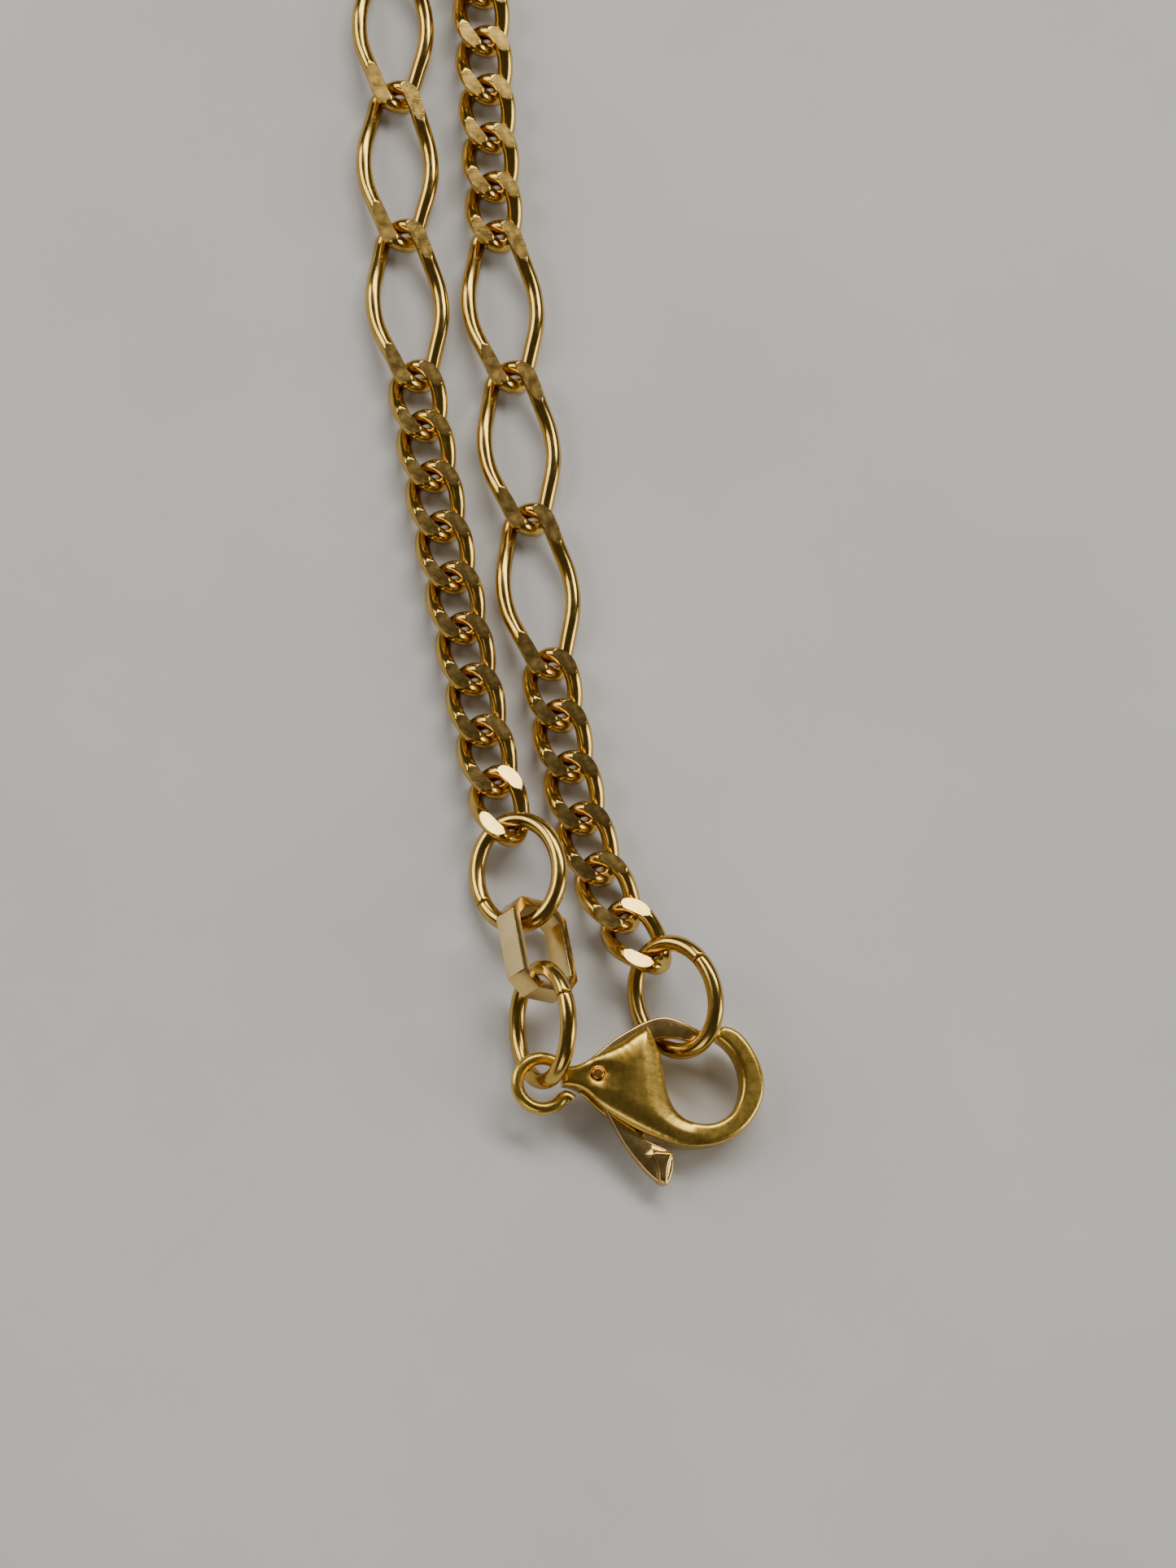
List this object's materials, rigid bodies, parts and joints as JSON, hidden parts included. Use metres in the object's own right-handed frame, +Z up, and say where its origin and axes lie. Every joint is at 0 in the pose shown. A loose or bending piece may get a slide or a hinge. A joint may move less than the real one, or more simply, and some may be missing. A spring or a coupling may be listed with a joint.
{
  "type": "chain necklace",
  "caption": "Gold-coloured figaro-type curb chain necklace with faceted twisted links, jump rings, an end tag and a sprung lobster clasp, laid out fastened on a table.",
  "frame": {"origin": "centre of the bounding box in plan, on the table the necklace lies on", "axes": "+X to the wearer-side right strand, across the loop; +Y from the clasp along the necklace to the far end of the loop; +Z up from the table"},
  "size_m": [0.0686, 0.2076, 0.0046],
  "materials": {
    "chain_gold": "polished, with flat mirror facets and fine scratches",
    "ring_gold": "polished round wire",
    "stippled_gold": "polished, with a stippled outer face",
    "satin_gold": "satin cast, with polished rims",
    "polished_gold": "polished",
    "spring_wire": "drawn wire"
  },
  "bodies": {
    "far_loop": {"far_curb_links_1": "chain_gold", "far_long_links_1": "chain_gold", "far_curb_links_2": "chain_gold", "far_long_links_2": "chain_gold", "far_curb_links_3": "chain_gold", "far_long_links_3": "chain_gold"},
    "row_11": {"row_11_left_long_link": "chain_gold", "row_11_left_curb_links": "chain_gold", "row_11_right_curb_links": "chain_gold"},
    "row_10": {"row_10_left_curb_links": "chain_gold", "row_10_left_long_links": "chain_gold", "row_10_right_curb_links": "chain_gold", "row_10_right_long_links": "chain_gold"},
    "row_9": {"row_9_left_long_links": "chain_gold", "row_9_left_curb_link": "chain_gold", "row_9_right_curb_links": "chain_gold"},
    "row_8": {"row_8_left_curb_links": "chain_gold", "row_8_left_long_link": "chain_gold", "row_8_right_long_links": "chain_gold"},
    "row_7": {"row_7_left_curb_links": "chain_gold", "row_7_right_long_link": "chain_gold", "row_7_right_curb_links": "chain_gold"},
    "row_6": {"long_link_left_3": "chain_gold", "curb_link_right_12": "chain_gold", "curb_link_right_10": "chain_gold"},
    "row_5": {"long_link_left_2": "chain_gold", "curb_link_right_9": "chain_gold", "curb_link_right_7": "chain_gold"},
    "row_4": {"long_link_left_1": "chain_gold", "long_link_right_3": "chain_gold"},
    "row_3": {"curb_link_left_7": "chain_gold", "curb_link_left_9": "chain_gold", "long_link_right_2": "chain_gold"},
    "row_2": {"curb_link_left_4": "chain_gold", "curb_link_left_6": "chain_gold", "long_link_right_1": "chain_gold"},
    "row_1": {"curb_link_left_2": "chain_gold", "curb_link_left_3": "chain_gold", "curb_link_right_6": "chain_gold", "curb_link_right_5": "chain_gold"},
    "clasp_end": {"curb_link_left_1": "chain_gold", "curb_link_right_4": "chain_gold", "curb_link_right_1": "chain_gold"},
    "link_curb_link_left_5": {"curb_link_left_5": "chain_gold"},
    "link_curb_link_left_8": {"curb_link_left_8": "chain_gold"},
    "link_curb_link_right_8": {"curb_link_right_8": "chain_gold"},
    "link_curb_link_right_11": {"curb_link_right_11": "chain_gold"},
    "link_curb_link_right_3": {"curb_link_right_3": "chain_gold"},
    "link_curb_link_right_2": {"curb_link_right_2": "chain_gold"},
    "left_ring": {"left_jump_ring": "ring_gold"},
    "tail_ring": {"tail_jump_ring": "ring_gold"},
    "right_ring": {"right_jump_ring": "ring_gold"},
    "tag": {"end_tag": "stippled_gold"},
    "clasp": {"clasp_body": "satin_gold", "lever_pin": "polished_gold", "lever_spring": "spring_wire"},
    "lever": {"clasp_lever": "polished_gold"}
  },
  "joints": [
    {"name": "fold_1", "type": "hinge", "parent": "row_1", "child": "clasp_end", "pos_m": [0.00408, -0.08355, 0.00067], "axis": [-0.9716, -0.2361, 0.0127], "range_deg": [-20, 12]},
    {"name": "fold_2", "type": "hinge", "parent": "row_2", "child": "row_1", "pos_m": [0.00316, -0.07833, 0.00065], "axis": [-0.9721, -0.2345, 0], "range_deg": [-18, 20]},
    {"name": "fold_3", "type": "hinge", "parent": "row_3", "child": "row_2", "pos_m": [0.00206, -0.07069, 0.00065], "axis": [-0.9925, -0.1219, 0], "range_deg": [-20, 20]},
    {"name": "fold_4", "type": "hinge", "parent": "row_4", "child": "row_3", "pos_m": [0.00112, -0.06302, 0.00065], "axis": [-0.9997, -0.0262, 0], "range_deg": [-20, 16]},
    {"name": "fold_5", "type": "hinge", "parent": "row_5", "child": "row_4", "pos_m": [0.00053, -0.05554, 0.00065], "axis": [-0.9997, -0.0262, 0], "range_deg": [-19, 19]},
    {"name": "fold_6", "type": "hinge", "parent": "row_6", "child": "row_5", "pos_m": [0.00027, -0.04782, 0.00065], "axis": [-0.9923, -0.124, 0], "range_deg": [-20, 20]},
    {"name": "fold_7", "type": "hinge", "parent": "row_7", "child": "row_6", "pos_m": [0.00009, -0.0401, 0.00065], "axis": [-0.9737, -0.2279, 0], "range_deg": [-15, 20]},
    {"name": "fold_8", "type": "hinge", "parent": "row_8", "child": "row_7", "pos_m": [0.00007, -0.02443, 0.00065], "axis": [-0.9932, -0.1162, 0], "range_deg": [-20, 20]},
    {"name": "fold_9", "type": "hinge", "parent": "row_9", "child": "row_8", "pos_m": [0.00043, -0.00934, 0.00065], "axis": [-1, -0.0016, 0], "range_deg": [-13, 20]},
    {"name": "fold_10", "type": "hinge", "parent": "row_10", "child": "row_9", "pos_m": [0.00093, 0.00775, 0.00065], "axis": [-0.9995, -0.0312, 0], "range_deg": [-14, 14]},
    {"name": "fold_11", "type": "hinge", "parent": "row_11", "child": "row_10", "pos_m": [0.0003, 0.03955, 0.00065], "axis": [-0.9999, -0.0145, 0], "range_deg": [-15, 20]},
    {"name": "fold_12", "type": "hinge", "parent": "far_loop", "child": "row_11", "pos_m": [-0.00023, 0.05317, 0.00065], "axis": [-0.9998, 0.0188, 0], "range_deg": [-16, 16]},
    {"name": "roll_right_11", "type": "hinge", "parent": "row_6", "child": "link_curb_link_right_11", "pos_m": [0.00238, -0.04357, 0.00065], "axis": [-0.0361, 0.9993, 0], "range_deg": [-12, 12]},
    {"name": "roll_right_8", "type": "hinge", "parent": "row_5", "child": "link_curb_link_right_8", "pos_m": [0.00271, -0.05151, 0.00065], "axis": [-0.0433, 0.9991, 0], "range_deg": [-12, 12]},
    {"name": "roll_left_8", "type": "hinge", "parent": "row_3", "child": "link_curb_link_left_8", "pos_m": [-0.00068, -0.06702, 0.00065], "axis": [-0.1478, 0.989, 0], "range_deg": [-12, 12]},
    {"name": "roll_left_5", "type": "hinge", "parent": "row_2", "child": "link_curb_link_left_5", "pos_m": [0.00062, -0.07486, 0.00065], "axis": [-0.1736, 0.9848, 0], "range_deg": [-12, 12]},
    {"name": "roll_right_3", "type": "hinge", "parent": "clasp_end", "child": "link_curb_link_right_3", "pos_m": [0.00677, -0.08698, 0.00065], "axis": [-0.2672, 0.9636, 0], "range_deg": [-5, 8]},
    {"name": "roll_right_2", "type": "hinge", "parent": "clasp_end", "child": "link_curb_link_right_2", "pos_m": [0.00766, -0.08947, 0.00075], "axis": [-0.4063, 0.9125, -0.0471], "range_deg": [-4, 4]},
    {"name": "left_jump_ring_roll", "type": "hinge", "parent": "clasp_end", "child": "left_ring", "pos_m": [0.00324, -0.08874, 0.00156], "axis": [-0.1609, 0.9797, -0.1192], "range_deg": [-10, 2]},
    {"name": "end_tag_roll", "type": "hinge", "parent": "clasp_end", "child": "tag", "pos_m": [0.00402, -0.09266, 0.0019], "axis": [-0.1409, 0.9818, -0.1274], "range_deg": [-2, 2]},
    {"name": "tail_jump_ring_roll", "type": "hinge", "parent": "clasp_end", "child": "tail_ring", "pos_m": [0.00416, -0.09647, 0.00231], "axis": [-0.0776, 0.9957, 0.0502], "range_deg": [-5, 3]},
    {"name": "right_jump_ring_roll", "type": "hinge", "parent": "clasp_end", "child": "right_ring", "pos_m": [0.01054, -0.09485, 0.00185], "axis": [-0.3405, 0.9349, -0.1002], "range_deg": [-8, 1]},
    {"name": "clasp_swing", "type": "hinge", "parent": "clasp_end", "child": "clasp", "pos_m": [0.00846, -0.09904, 0.00145], "axis": [0.9969, 0.0395, -0.0686], "range_deg": [0, 1]},
    {"name": "lever_pivot", "type": "hinge", "parent": "clasp", "child": "lever", "pos_m": [0.00666, -0.09872, 0.00161], "axis": [-0.0726, 0.1109, -0.9912], "range_deg": [0, 0.5], "stiffness_Nm_per_rad": 0.0002, "springref_deg": -20.05, "deforming": ["lever_spring"]}
  ]
}
